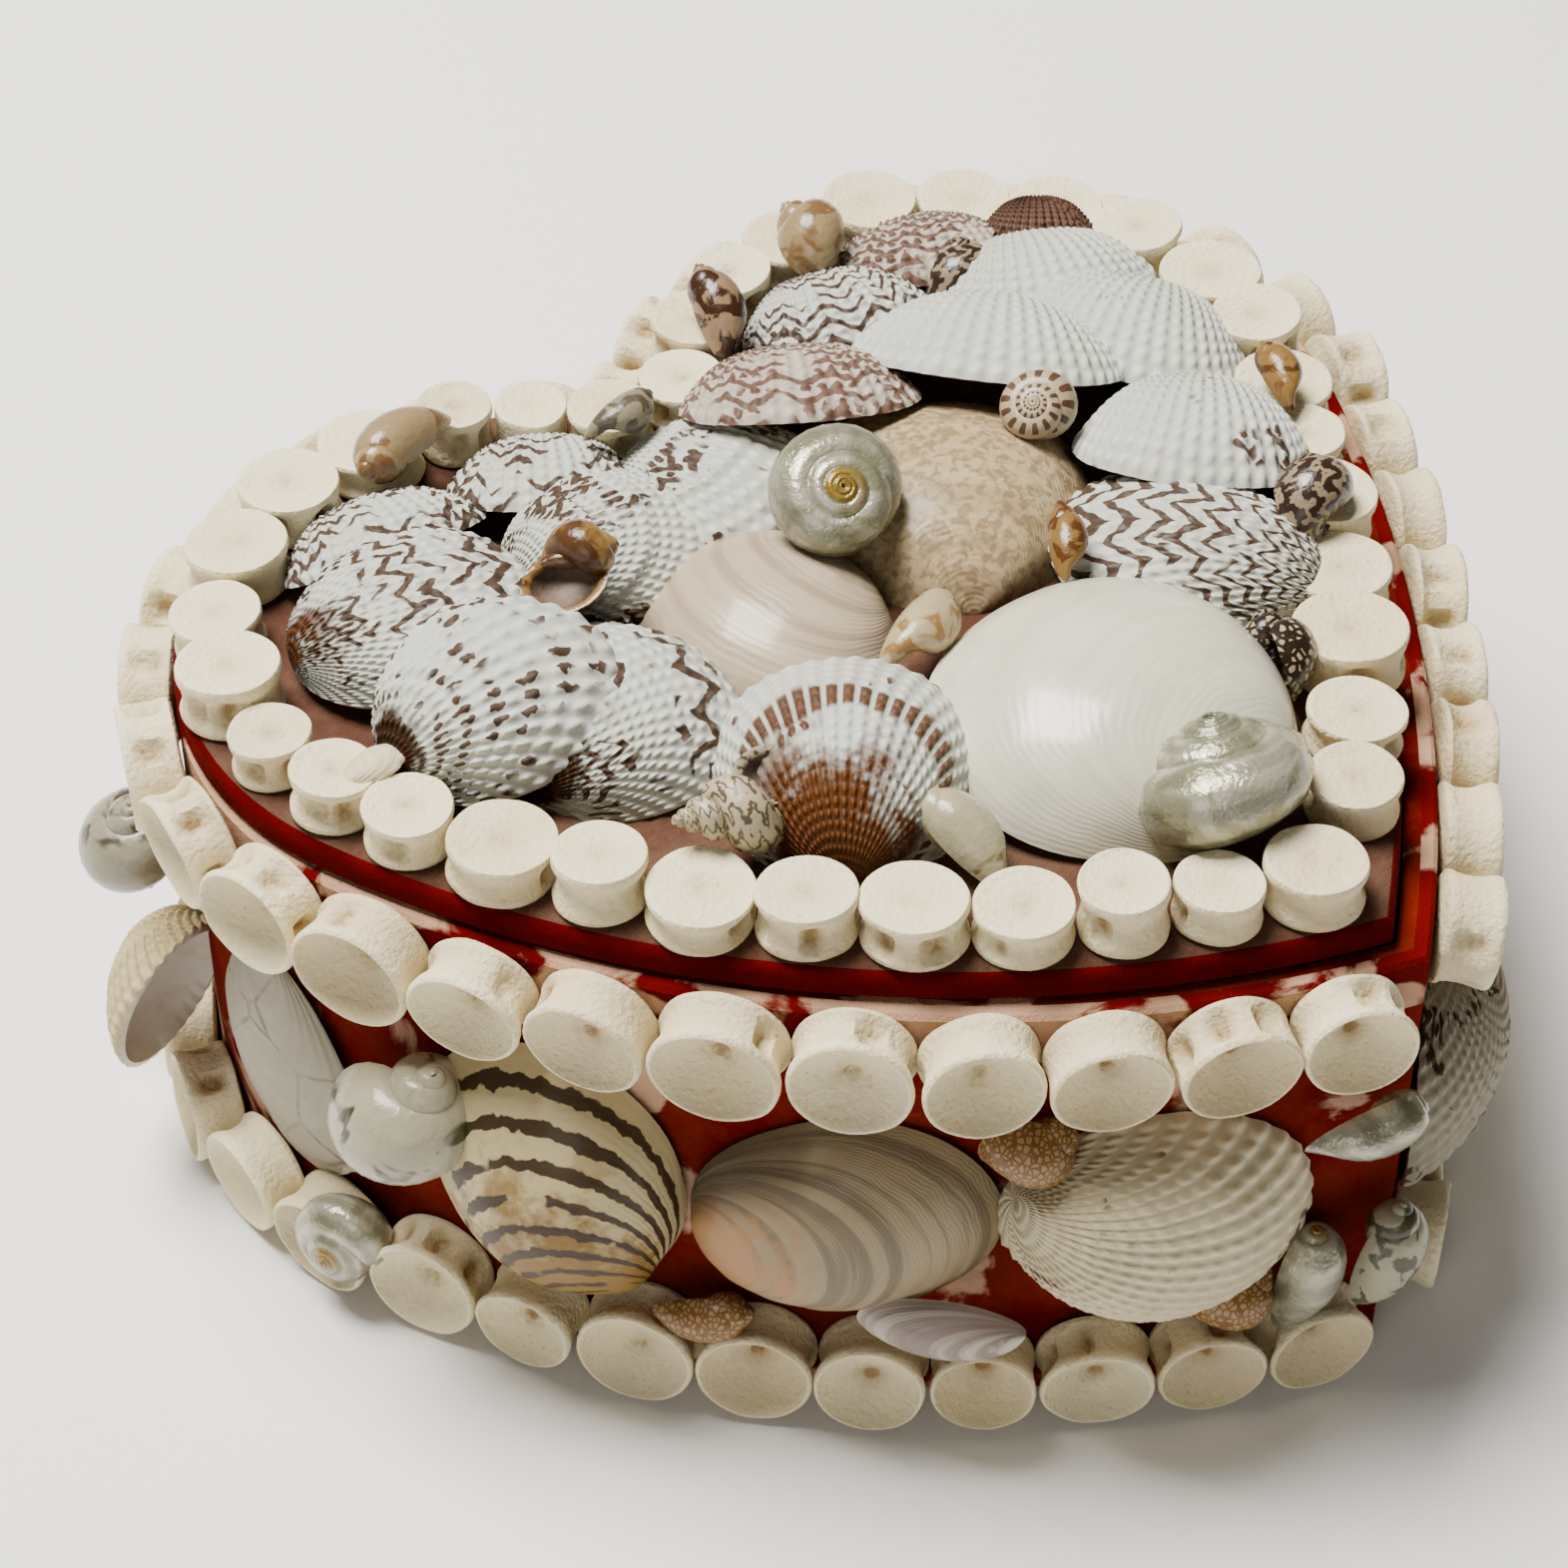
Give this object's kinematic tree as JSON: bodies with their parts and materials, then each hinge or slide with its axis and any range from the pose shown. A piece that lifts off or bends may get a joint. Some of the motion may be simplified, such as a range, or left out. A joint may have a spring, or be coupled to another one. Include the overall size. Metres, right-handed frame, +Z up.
{
  "type": "shell box",
  "caption": "Heart-shaped keepsake box with a lift-off lid, covered in glued sea shells between rows of round fish vertebrae.",
  "frame": {"origin": "middle of the base board's underside", "axes": "+Z up, +Y towards the heart's two lobes, +X across the heart"},
  "size_m": [0.136, 0.1236, 0.0671],
  "materials": {
    "velvet": "worn matt velvet over board",
    "bone": "chalky bone",
    "white_shell": "satin shell",
    "cream_shell": "glossy shell",
    "tan_shell": "glossy shell",
    "pink_shell": "glossy shell",
    "brown_shell": "satin shell with brown marks",
    "purple_shell": "satin shell with purple marks",
    "grey_shell": "satin dark shell",
    "amber_shell": "glossy amber shell",
    "pearl_shell": "mother of pearl"
  },
  "bodies": {
    "root": {"base_board": "velvet", "box_wall": "velvet", "lid_board": "velvet", "lid_vertebra_row": "bone", "upper_vertebra_row": "bone", "lower_vertebra_row": "bone", "pearl_turban": "pearl_shell", "speckled_lens_shell": "purple_shell", "white_serrated_shell": "white_shell", "chevron_edge_shell": "brown_shell", "domed_white_shell": "white_shell", "lower_turban": "pearl_shell", "banded_ribbed_shell": "brown_shell", "large_white_clam": "white_shell", "hooked_chevron_shell": "brown_shell", "dark_speckled_snail": "grey_shell", "purple_edge_shell": "white_shell", "brown_chevron_shell": "brown_shell", "beaded_fan_shell": "white_shell", "stepped_fan_shell": "white_shell", "jagged_fan_shell": "white_shell", "tan_mottled_clam": "tan_shell", "pink_clam": "pink_shell", "olive_edge_shell": "white_shell", "red_dotted_lens_shell": "white_shell", "upper_lens_shell": "brown_shell", "wavy_chevron_shell": "brown_shell", "scalloped_thin_shell": "purple_shell", "small_dark_valve": "grey_shell", "tan_glossy_snail": "tan_shell", "grey_snail": "grey_shell", "amber_snail": "amber_shell", "dark_drop_snail": "grey_shell", "striped_snail": "grey_shell", "honey_snail": "amber_shell", "amber_edge_snail": "amber_shell", "dark_side_snail": "grey_shell", "net_patterned_snail": "grey_shell", "cream_snail": "cream_shell", "open_amber_snail": "amber_shell", "ribbed_ark_shell": "white_shell", "pink_grey_clam": "pink_shell", "dashed_oval_clam": "cream_shell", "lumpy_pale_shell": "cream_shell", "small_wall_turban": "pearl_shell", "flat_whitish_shell": "cream_shell", "fan_ribbed_shell": "tan_shell", "grey_left_snail": "grey_shell", "mottled_green_snail": "grey_shell", "pearl_oval_snail": "pearl_shell", "speckled_side_shell": "brown_shell", "right_pale_clam": "white_shell", "right_ribbed_shell": "tan_shell", "right_pink_clam": "pink_shell", "right_brown_shell": "brown_shell", "back_right_clam": "white_shell", "back_right_shell": "cream_shell", "back_left_shell": "tan_shell", "back_left_clam": "white_shell"}
  },
  "joints": []
}
